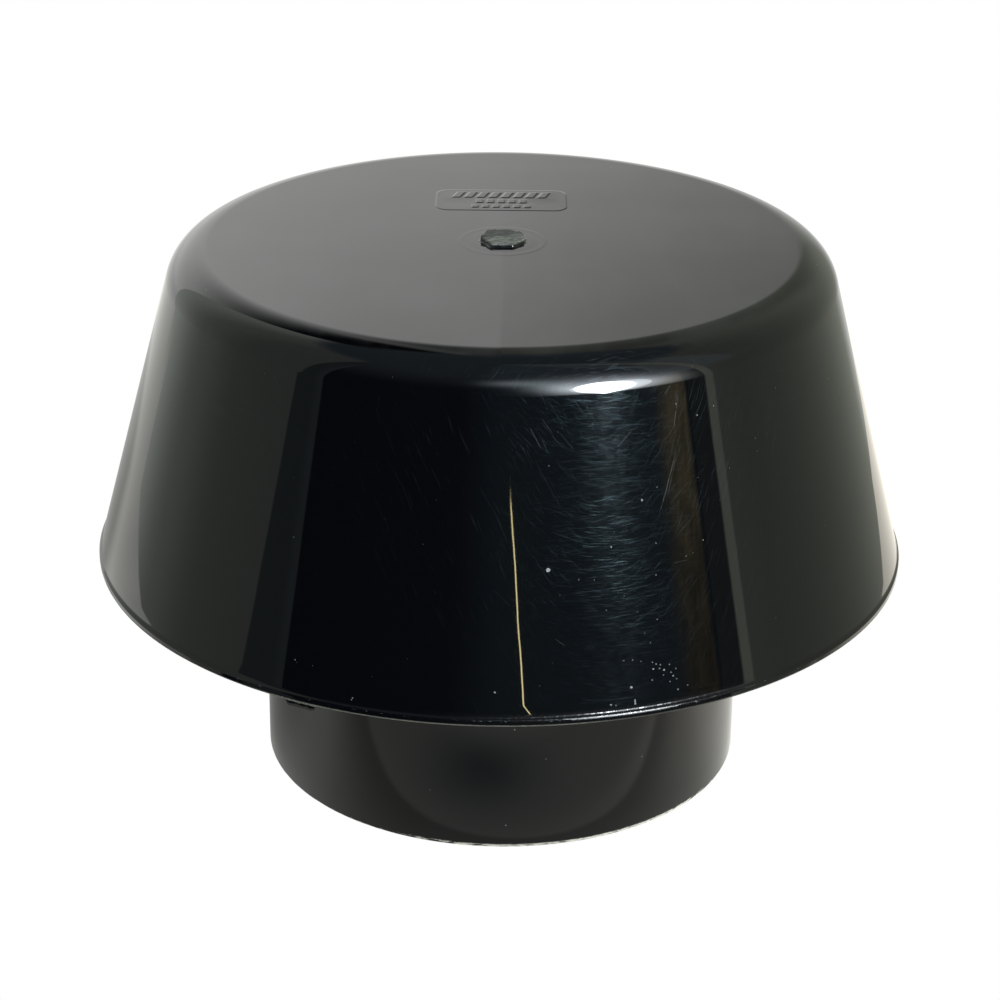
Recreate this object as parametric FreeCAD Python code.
"""Roof vent cowl for a 110 mm vent pipe.

A moulded hood stands on a four-armed carrier that plugs into the top of a
plain pipe collar.  Air rises through the collar and the insect screen, turns
under the hood and leaves through the ring gap between collar and hood skirt.

Frame: millimetres, +Z up the pipe axis, origin at the centre of the collar's
bottom mouth.  -Y is the front.
"""
import FreeCAD, Part
import math
import os
from FreeCAD import Vector

os.makedirs("parts", exist_ok=True)

# ------------------------------------------------- dimensions shared by pieces
ARM_ANGLES = (45.0, 135.0, 225.0, 315.0)    # posts, arms and screws
CLIP_ANGLES = (0.0, 90.0, 180.0, 270.0)     # clips, collar windows, side spokes
POST_PITCH_R = 70.0      # pitch radius of posts, arms and screws
POST_R = 5.5
POST_END_Z = 103.0

COLLAR_R = 58.5          # outside of the collar
COLLAR_TOP = 94.0
STOP_Z0, STOP_Z1 = 72.0, 74.5      # pipe stop ledge
CARRIER_Z0 = 76.1        # bottom of the carrier ring
BOSS_Z0, BOSS_Z1 = 95.0, 106.0     # screw boss on each arm

SCREW_R = 2.0
SCREW_TIP_Z = 114.0

HOOD_TOP = 130.6         # top face of the hood
HOOD_WALL = 2.8
CEILING = HOOD_TOP - HOOD_WALL


# ------------------------------------------------------------------- helpers
def clean(shape):
    """Solids of a shape turned right side out; a lone solid is returned bare."""
    solids = shape.Solids
    for solid in solids:
        if solid.Volume < 0:
            solid.reverse()
    return solids[0] if len(solids) == 1 else Part.makeCompound(solids)


def fuse(shapes):
    return clean(shapes[0].fuse(shapes[1:]).removeSplitter())


def cut(base, tools):
    return clean(base.cut(tools).removeSplitter())


def turned(shape, angle):
    copy = shape.copy()
    copy.rotate(Vector(0, 0, 0), Vector(0, 0, 1), angle)
    return copy


def around(angles, *shapes):
    """A copy of every shape at every angle about Z."""
    return [turned(shape, angle) for angle in angles for shape in shapes]


def round_inset(radius):
    """Distance, along each side, from a square corner to the middle of its rounding."""
    return radius * (1 - math.sqrt(0.5))


def outline_face(path, place):
    """Face inside a closed path, whose pairs place() turns into vectors.

    A plain pair is a straight run to that point, and ("arc", pair, pair)
    is an arc through the first pair to the second.
    """
    start = here = place(*path[0])
    edges = []
    for step in path[1:]:
        if step[0] == "arc":
            end = place(*step[2])
            edges.append(Part.Arc(here, place(*step[1]), end).toShape())
        else:
            end = place(*step)
            edges.append(Part.LineSegment(here, end).toShape())
        here = end
    if (here - start).Length > 1e-7:
        edges.append(Part.LineSegment(here, start).toShape())
    return Part.Face(Part.Wire(edges))


def lathe(path):
    """Closed (r, z) path turned about Z."""
    face = outline_face(path, lambda r, z: Vector(r, 0, z))
    return clean(face.revolve(Vector(0, 0, 0), Vector(0, 0, 1), 360))


def rounded_slab(width, depth, radius, z0, z1, x, y):
    """Rounded rectangle prism centred on x, y."""
    right, back = width / 2, depth / 2
    inset = round_inset(radius)
    path = [
        (-right + radius, -back), (right - radius, -back),
        ("arc", (right - inset, -back + inset), (right, -back + radius)),
        (right, back - radius),
        ("arc", (right - inset, back - inset), (right - radius, back)),
        (-right + radius, back),
        ("arc", (-right + inset, back - inset), (-right, back - radius)),
        (-right, -back + radius),
        ("arc", (-right + inset, -back + inset), (-right + radius, -back)),
    ]
    face = outline_face(path, lambda dx, dy: Vector(x + dx, y + dy, z0))
    return face.extrude(Vector(0, 0, z1 - z0))


def box(x0, x1, y0, y1, z0, z1):
    return Part.makeBox(x1 - x0, y1 - y0, z1 - z0, Vector(x0, y0, z0))


def cylinder(radius, z0, z1, x=0.0):
    return Part.makeCylinder(radius, z1 - z0, Vector(x, 0, z0))


def polygon(corners):
    return Part.makePolygon(corners + corners[:1])


def prism_yz(points, half_width):
    """Polygon of (y, z) points, extruded evenly either side of x = 0."""
    wire = polygon([Vector(-half_width, y, z) for y, z in points])
    return Part.Face(wire).extrude(Vector(2 * half_width, 0, 0))


def prism_xz(points, width):
    """Polygon of (x, z) points, extruded evenly either side of y = 0."""
    wire = polygon([Vector(x, -width / 2, z) for x, z in points])
    return Part.Face(wire).extrude(Vector(0, width, 0))


def save(shape, name):
    shape.exportStep("parts/%s.step" % name)


# ---------------------------------------------------------------- hood profile
CORNER_R = 77.3                    # where the cone line would meet the top face
CONE_R, CONE_Z = 97.5, 55.4        # a second point on the cone line
SHOULDER_R = 10.3                  # outer rounding between top face and cone
HOOD_RIM_Z = 53.8                  # bottom of the hood's rim
RIM_EDGE_R = 0.35
RUNOUT_START_R = 97.0              # where the cone gives way to the run-out
RUNOUT_R, RUNOUT_SWEEP = 2.0, 25.0     # concave run-out above the rim bead
BEAD_R = 2.2                       # convex top of the rim bead

cone_length = math.hypot(CONE_R - CORNER_R, CONE_Z - HOOD_TOP)
down_r = (CONE_R - CORNER_R) / cone_length      # unit vector down the cone
down_z = (CONE_Z - HOOD_TOP) / cone_length
normal_r, normal_z = -down_z, down_r            # outward normal of the cone
cone_turn = math.acos(down_r)                   # from level to the cone line
shoulder_r = CORNER_R - SHOULDER_R * math.tan(cone_turn / 2)    # arc centre
shoulder_z = HOOD_TOP - SHOULDER_R


def shoulder(radius):
    """Start, middle and end of the shoulder arc, from the top face to the cone."""
    half = cone_turn / 2
    return (
        (shoulder_r, shoulder_z + radius),
        (shoulder_r + radius * math.sin(half), shoulder_z + radius * math.cos(half)),
        (shoulder_r + radius * normal_r, shoulder_z + radius * normal_z),
    )


inner_start, inner_mid, inner_end = shoulder(SHOULDER_R - HOOD_WALL)


def inner_cone_r(z):
    """Radius of the skirt's inner face at height z."""
    return inner_end[0] + (z - inner_end[1]) * down_r / down_z


def on_circle(centre, radius, angle):
    return (centre[0] + radius * math.cos(angle), centre[1] + radius * math.sin(angle))


def hood_skin():
    """Top, shoulder and conical skirt with a beaded rim."""
    outer_start, outer_mid, outer_end = shoulder(SHOULDER_R)

    # concave run-out, tangent to the cone
    cone_end = (RUNOUT_START_R, HOOD_TOP + (RUNOUT_START_R - CORNER_R) * down_z / down_r)
    runout_centre = (cone_end[0] + RUNOUT_R * normal_r, cone_end[1] + RUNOUT_R * normal_z)
    cone_side = math.atan2(-normal_z, -normal_r)
    runout_turn = cone_side + math.radians(RUNOUT_SWEEP)
    runout_mid = on_circle(runout_centre, RUNOUT_R, cone_side + math.radians(RUNOUT_SWEEP / 2))
    runout_end = on_circle(runout_centre, RUNOUT_R, runout_turn)

    # convex bead, tangent to the run-out and ending upright
    bead_centre = (runout_end[0] + BEAD_R * math.cos(runout_turn),
                   runout_end[1] + BEAD_R * math.sin(runout_turn))
    bead_start = math.atan2(runout_end[1] - bead_centre[1], runout_end[0] - bead_centre[0])
    bead_mid = on_circle(bead_centre, BEAD_R, bead_start / 2)
    rim_r = bead_centre[0] + BEAD_R

    rim_inner_r = inner_cone_r(HOOD_RIM_Z)
    edge_z = HOOD_RIM_Z + RIM_EDGE_R
    inset = round_inset(RIM_EDGE_R)
    inner_lean = 0.02        # inner rounding follows the sloping wall
    return lathe([
        (0, HOOD_TOP), outer_start, ("arc", outer_mid, outer_end), cone_end,
        ("arc", runout_mid, runout_end), ("arc", bead_mid, (rim_r, bead_centre[1])),
        (rim_r, edge_z),
        ("arc", (rim_r - inset, HOOD_RIM_Z + inset), (rim_r - RIM_EDGE_R, HOOD_RIM_Z)),
        (rim_inner_r + RIM_EDGE_R, HOOD_RIM_Z),
        ("arc", (rim_inner_r + inset - inner_lean, HOOD_RIM_Z + inset),
         (inner_cone_r(edge_z), edge_z)),
        inner_end, ("arc", inner_mid, inner_start), (0, CEILING),
    ])


# ------------------------------------------------------------- hood top details
TOP_SINK = 0.5           # how far the details reach down into the top
GATE_PAD_R, GATE_PAD_H = 10.3, 0.06
STUB_FOOT_R, STUB_TIP_R, STUB_H = 5.75, 5.4, 2.1     # sprue stub before trimming
NIP_TURN = 17.0
NIP_REACH = 9.0          # nip cuts pass right over the stub
CLEAR_H = 6.0            # top of the trimming tools, above the hood
# slanting cuts across the stub: y0, height at y0, y1, height at y1
NIPS = ((-NIP_REACH, 0.25, -1.2, 1.10), (-1.2, 0.82, 2.0, 1.42), (2.0, 1.10, NIP_REACH, 1.85))
FLAT_H = 0.12            # bottom of the flats, above the hood
# flats round the stub's edge: angle, distance from the axis
FLATS = (
    (-90.0, 4.8), (-35.0, 4.6), (0.0, 5.3), (63.0, 4.3), (92.0, 5.0), (161.0, 4.85), (209.0, 4.45),
)
PANEL_W, PANEL_D, PANEL_CORNER_R, PANEL_H = 32.0, 16.0, 3.2, 0.14
PANEL_X, PANEL_Y = -0.4, 30.9
BAR_H = 0.16             # raised bars on the panel, above it
# rows of plain bars: centre y, count, width, depth, gap, lean
BAR_ROWS = (
    (34.8, 8, 2.0, 4.3, 1.0, 1.3),
    (29.9, 5, 1.7, 2.7, 0.95, 0.0),
    (26.0, 6, 1.6, 2.2, 0.95, 0.0),
)


def gate_stub():
    """Nipped-off sprue stub: two ridges across it and flats round its edge."""
    stub = Part.makeCone(STUB_FOOT_R, STUB_TIP_R, STUB_H + TOP_SINK,
                         Vector(0, 0, HOOD_TOP - TOP_SINK))
    clear_z = HOOD_TOP + CLEAR_H
    nips = [
        turned(prism_yz([(y0, HOOD_TOP + h0), (y1, HOOD_TOP + h1), (y1, clear_z), (y0, clear_z)],
                        NIP_REACH), NIP_TURN)
        for y0, h0, y1, h1 in NIPS
    ]
    flats = [
        turned(box(distance, 12, -9, 9, HOOD_TOP + FLAT_H, clear_z), angle)
        for angle, distance in FLATS
    ]
    return cut(stub, nips + flats)


def panel_bars():
    bars = []
    for y, count, width, depth, gap, lean in BAR_ROWS:
        x = PANEL_X - (count * width + (count - 1) * gap) / 2 + width / 2
        front, back = y - depth / 2, y + depth / 2
        for _ in range(count):
            wire = polygon([
                Vector(x - width / 2 - lean / 2, front, HOOD_TOP),
                Vector(x + width / 2 - lean / 2, front, HOOD_TOP),
                Vector(x + width / 2 + lean / 2, back, HOOD_TOP),
                Vector(x - width / 2 + lean / 2, back, HOOD_TOP),
            ])
            bars.append(Part.Face(wire).extrude(Vector(0, 0, PANEL_H + BAR_H)))
            x += width + gap
    return bars


# -------------------------------------------------------------- hood underside
RIB_T = 2.2
RIB_ROOT_Z = CEILING + 1.0         # ribs and posts run up into the top
SKIRT_SINK = 0.8                   # skirt ribs run out into the skirt
SPOKE_Z = CEILING - 4.0            # bottom of post spokes and hub
LOW_RIB_Z = CEILING - 3.0          # bottom of side spokes and ring rib
SPOKE_START_R = 7.0
RING_RIB_R = 35.0
HUB_R, HUB_CORE_R = 9.0, 5.6
POST_HOLE_R = SCREW_R + 0.05
POST_HOLE_TOP = 118.0
HOLE_LEAD = 0.8                    # chamfer at the mouth of each post hole


def hood_ribbing():
    """Screw posts tied to the skirt and hub, hub, ring rib and side spokes."""
    post = cylinder(POST_R, POST_END_Z, RIB_ROOT_Z, POST_PITCH_R)
    skirt_rib = prism_xz([
        (POST_PITCH_R, 108.0), (inner_cone_r(108.0) + SKIRT_SINK, 108.0),
        (inner_cone_r(122.5) + SKIRT_SINK, 122.5),
        (inner_mid[0] + SKIRT_SINK, inner_mid[1] + SKIRT_SINK), (POST_PITCH_R, RIB_ROOT_Z),
    ], RIB_T)
    spoke = prism_xz([
        (SPOKE_START_R, SPOKE_Z), (58.0, SPOKE_Z), (POST_PITCH_R, 112.0),
        (POST_PITCH_R, RIB_ROOT_Z), (SPOKE_START_R, RIB_ROOT_Z),
    ], RIB_T)
    hub = cylinder(HUB_R, SPOKE_Z, RIB_ROOT_Z)
    rib_in, rib_out = RING_RIB_R - RIB_T / 2, RING_RIB_R + RIB_T / 2
    ring_rib = lathe([
        (rib_in, LOW_RIB_Z), (rib_out, LOW_RIB_Z), (rib_out, RIB_ROOT_Z), (rib_in, RIB_ROOT_Z),
    ])
    side_spoke = prism_xz([
        (SPOKE_START_R, LOW_RIB_Z), (62.0, LOW_RIB_Z),
        (66.0, RIB_ROOT_Z), (SPOKE_START_R, RIB_ROOT_Z),
    ], RIB_T)
    return (around(ARM_ANGLES, post, skirt_rib, spoke) + [hub, ring_rib]
            + around(CLIP_ANGLES, side_spoke))


def hood_shell():
    sunk_z = HOOD_TOP - TOP_SINK
    gate_pad = cylinder(GATE_PAD_R, sunk_z, HOOD_TOP + GATE_PAD_H)
    panel = rounded_slab(PANEL_W, PANEL_D, PANEL_CORNER_R, sunk_z, HOOD_TOP + PANEL_H,
                         PANEL_X, PANEL_Y)
    hood = fuse([hood_skin(), gate_pad, gate_stub(), panel] + panel_bars() + hood_ribbing())
    hole = cylinder(POST_HOLE_R, POST_END_Z - 1, POST_HOLE_TOP, POST_PITCH_R)
    mouth = Part.makeCone(POST_HOLE_R + HOLE_LEAD, POST_HOLE_R, HOLE_LEAD,
                          Vector(POST_PITCH_R, 0, POST_END_Z))
    hub_core = cylinder(HUB_CORE_R, CEILING - 5.0, CEILING - 1.2)
    return cut(hood, around(ARM_ANGLES, hole) + around(ARM_ANGLES, mouth) + [hub_core])


save(hood_shell(), "hood_shell")

# --------------------------------------------------------------- pipe collar
BORE_R = 55.3            # pipe socket
SEAT_R = 55.6            # wider bore above the stop ledge, where the carrier plugs in
STOP_R = 52.0
LEAD_Z, LEAD_R = 3.0, 0.9          # lead-in chamfer at the mouth: height, widening
MOUTH_EDGE_R = 0.5
GROOVE_Z0, GROOVE_Z1 = 60.0, 68.0  # seal groove
GROOVE_R = 59.4
BULGE_R = 62.3           # outside of the seal housing
STOP_EDGE = 0.4          # chamfers on the stop ledge
WINDOW_W, WINDOW_Z0, WINDOW_Z1 = 13.0, 83.0, 89.0


def pipe_collar():
    inset = round_inset(MOUTH_EDGE_R)
    collar = lathe([
        (BORE_R + LEAD_R, 0), (COLLAR_R - MOUTH_EDGE_R, 0),
        ("arc", (COLLAR_R - inset, inset), (COLLAR_R, MOUTH_EDGE_R)),
        # outside, over the seal housing
        (COLLAR_R, 55.0), (COLLAR_R + 0.6, 56.0), (BULGE_R - 0.8, 58.0),
        ("arc", (BULGE_R - 0.2, 58.7), (BULGE_R, 59.5)), (BULGE_R, 68.5),
        ("arc", (BULGE_R - 0.2, 69.3), (BULGE_R - 0.8, 70.0)), (COLLAR_R, 73.0),
        # top edge
        (COLLAR_R, COLLAR_TOP - 0.4), (COLLAR_R - 0.4, COLLAR_TOP),
        (SEAT_R + 0.3, COLLAR_TOP), (SEAT_R, COLLAR_TOP - 0.3),
        # stop ledge
        (SEAT_R, STOP_Z1), (STOP_R + STOP_EDGE, STOP_Z1), (STOP_R, STOP_Z1 - STOP_EDGE),
        (STOP_R, STOP_Z0 + STOP_EDGE), (STOP_R + STOP_EDGE, STOP_Z0),
        # bore and seal groove
        (BORE_R + 0.25, STOP_Z0), (BORE_R, STOP_Z0 - 0.6),
        (BORE_R, GROOVE_Z1), (GROOVE_R, GROOVE_Z1), (GROOVE_R, GROOVE_Z0), (BORE_R, GROOVE_Z0),
        (BORE_R, LEAD_Z),
    ])
    window = box(50, 66, -WINDOW_W / 2, WINDOW_W / 2, WINDOW_Z0, WINDOW_Z1)
    return cut(collar, around(CLIP_ANGLES, window))


save(pipe_collar(), "pipe_collar")

# ----------------------------------------------------------------- pipe seal
SEAL_BACK_R = GROOVE_R - 0.15
SEAL_Z0, SEAL_Z1 = GROOVE_Z0 + 0.3, GROOVE_Z1 - 0.3
# (r, z) section: flat back in the groove, two lips facing the pipe
SEAL_PATH = [
    (56.6, SEAL_Z0), (SEAL_BACK_R, SEAL_Z0), (SEAL_BACK_R, SEAL_Z1), (56.7, SEAL_Z1),
    ("arc", (55.9, 67.1), (55.95, 66.2)), (57.3, 64.2),
    ("arc", (56.2, 63.0), (55.1, 63.6)), ("arc", (55.35, 61.9), (56.6, SEAL_Z0)),
]
save(lathe(SEAL_PATH), "pipe_seal")

# ------------------------------------------------------------- insect screen
SCREEN_R = 54.9
SCREEN_Z0, SCREEN_Z1 = STOP_Z1, CARRIER_Z0     # between stop ledge and carrier
SCREEN_PLAY = 0.05       # above and below the rim
RIM_DEPTH = 2.4          # radial depth of the rim
RIM_LEAF_T = 0.3         # top and bottom leaves
RIM_BACK_T = 0.6         # outer wall
RIM_ROUND_R, RIM_ROUND_INSET = 0.4, 0.12
MESH_R = SCREEN_R - 0.8
MESH_PITCH = 4.0
MESH_WIRE = 0.8          # width and thickness of the mesh bars
MESH_BORDER = 0.8        # least solid border outside the holes


def screen_rim():
    """Channel ring, open towards the axis."""
    z0, z1 = SCREEN_Z0 + SCREEN_PLAY, SCREEN_Z1 - SCREEN_PLAY
    lip_r, back_r = SCREEN_R - RIM_DEPTH, SCREEN_R - RIM_BACK_T
    round_start_r, round_mid_r = SCREEN_R - RIM_ROUND_R, SCREEN_R - RIM_ROUND_INSET
    return lathe([
        (lip_r, z0), (round_start_r, z0),
        ("arc", (round_mid_r, z0 + RIM_ROUND_INSET), (SCREEN_R, z0 + RIM_ROUND_R)),
        (SCREEN_R, z1 - RIM_ROUND_R),
        ("arc", (round_mid_r, z1 - RIM_ROUND_INSET), (round_start_r, z1)),
        (lip_r, z1), (lip_r, z1 - RIM_LEAF_T), (back_r, z1 - RIM_LEAF_T),
        (back_r, z0 + RIM_LEAF_T), (lip_r, z0 + RIM_LEAF_T),
    ])


def screen_mesh():
    """Disc with every square hole that fits whole inside the border."""
    half = (MESH_PITCH - MESH_WIRE) / 2
    z = (SCREEN_Z0 + SCREEN_Z1) / 2 - MESH_WIRE / 2
    wires = [Part.Wire([Part.makeCircle(MESH_R, Vector(0, 0, z))])]
    count = int(MESH_R // MESH_PITCH) + 1
    for i in range(-count, count):
        for j in range(-count, count):
            x, y = (i + 0.5) * MESH_PITCH, (j + 0.5) * MESH_PITCH
            if math.hypot(abs(x) + half, abs(y) + half) < MESH_R - MESH_BORDER:
                wires.append(polygon([
                    Vector(x - half, y - half, z), Vector(x - half, y + half, z),
                    Vector(x + half, y + half, z), Vector(x + half, y - half, z)]))
    return clean(Part.Face(wires).extrude(Vector(0, 0, MESH_WIRE)))


save(screen_rim(), "screen_rim")
save(screen_mesh(), "screen_mesh")

# --------------------------------------------------------------- hood carrier
RING_OUT, RING_IN = 55.4, 52.4
FLANGE_TOP = 96.0        # the flange rests on the collar
DECK_W, DECK_TOP, DECK_IN = 12.0, 98.0, 53.5
WEB_T, WEB_TOP, WEB_IN = 3.2, 105.0, 53.2
WEB_OUT = POST_PITCH_R - 2
BOSS_R = 8.0
CUP_R = POST_R + 0.05    # cup that takes the end of a post
CUP_FLOOR_Z = POST_END_Z - 0.05
ARM_HOLE_R = SCREW_R + 0.2
CLIP_W = 12.0
BARB_IN, BARB_OUT, BARB_TOP = 53.6, 57.7, 88.3
SLOT_W, SLOT_TOP = 1.2, 90.0


def hood_carrier():
    ring = lathe([
        (RING_IN, CARRIER_Z0), (RING_OUT - 0.5, CARRIER_Z0), (RING_OUT, CARRIER_Z0 + 1.2),
        (RING_OUT, COLLAR_TOP), (COLLAR_R, COLLAR_TOP),
        (COLLAR_R, FLANGE_TOP - 0.4), (COLLAR_R - 0.4, FLANGE_TOP),
        (RING_IN + 0.6, FLANGE_TOP), (RING_IN, FLANGE_TOP - 0.6),
    ])
    deck = prism_xz([
        (DECK_IN, COLLAR_TOP), (58.4, COLLAR_TOP), (63.4, BOSS_Z0),
        (POST_PITCH_R, BOSS_Z0), (POST_PITCH_R, DECK_TOP), (DECK_IN, DECK_TOP),
    ], DECK_W)
    web = prism_xz([
        (WEB_IN, 97.0), (WEB_OUT, 97.0), (WEB_OUT, WEB_TOP), (60.5, WEB_TOP), (WEB_IN, 99.5),
    ], WEB_T)
    boss = cylinder(BOSS_R, BOSS_Z0, BOSS_Z1, POST_PITCH_R)
    # barb that springs into the collar's window
    barb = prism_xz([
        (BARB_IN, 84.0), (RING_OUT, 83.6), (BARB_OUT, 87.2), (BARB_OUT, BARB_TOP),
        (BARB_IN, BARB_TOP),
    ], CLIP_W)
    carrier = fuse([ring] + around(ARM_ANGLES, deck, web, boss) + around(CLIP_ANGLES, barb))

    cup = cylinder(CUP_R, CUP_FLOOR_Z, BOSS_Z1 + 1, POST_PITCH_R)
    hole = cylinder(ARM_HOLE_R, BOSS_Z0 - 1, POST_END_Z + 1, POST_PITCH_R)
    # slots either side of each spring finger
    slots = [
        box(50.0, 56.5, y, y + SLOT_W, CARRIER_Z0 - 1, SLOT_TOP)
        for y in (-CLIP_W / 2 - SLOT_W, CLIP_W / 2)
    ]
    return cut(carrier, around(ARM_ANGLES, cup, hole) + around(CLIP_ANGLES, *slots))


save(hood_carrier(), "hood_carrier")

# ------------------------------------------------------------------ fasteners
WASHER_R, WASHER_HOLE_R, WASHER_T = 4.6, 2.25, 0.9
HEAD_R, HEAD_H = 4.0, 2.7
HEAD_FLAT_R = 1.6
RECESS_HALF_L, RECESS_HALF_W, RECESS_DEPTH = 2.1, 0.42, 1.4
POINT_L, POINT_R = 4.0, 0.35
SEAT_Z = BOSS_Z0 - WASHER_T        # washer's underside, where the head bears


def washer():
    disc = cylinder(WASHER_R, SEAT_Z, BOSS_Z0, POST_PITCH_R)
    return cut(disc, [cylinder(WASHER_HOLE_R, BOSS_Z0 - 2, BOSS_Z0 + 1, POST_PITCH_R)])


def screw():
    """Pan-head screw, head down; made on the Z axis and moved out to the arm."""
    face_z = SEAT_Z - HEAD_H
    head = lathe([
        (0, face_z), (HEAD_FLAT_R, face_z),
        ("arc", (HEAD_R - 0.75, face_z + 0.7), (HEAD_R, SEAT_Z - 0.7)),
        (HEAD_R, SEAT_Z), (0, SEAT_Z),
    ])
    shank = lathe([
        (0, SEAT_Z - 0.5), (SCREW_R, SEAT_Z - 0.5), (SCREW_R, SCREW_TIP_Z - POINT_L),
        (POINT_R, SCREW_TIP_Z), (0, SCREW_TIP_Z),
    ])
    recess = [
        box(-x, x, -y, y, face_z - 1, face_z + RECESS_DEPTH)
        for x, y in ((RECESS_HALF_L, RECESS_HALF_W), (RECESS_HALF_W, RECESS_HALF_L))
    ]
    body = cut(fuse([head, shank]), recess)
    body.translate(Vector(POST_PITCH_R, 0, 0))
    return body


save(Part.makeCompound(around(ARM_ANGLES, washer())), "screw_washers")
save(Part.makeCompound(around(ARM_ANGLES, screw())), "hood_screws")
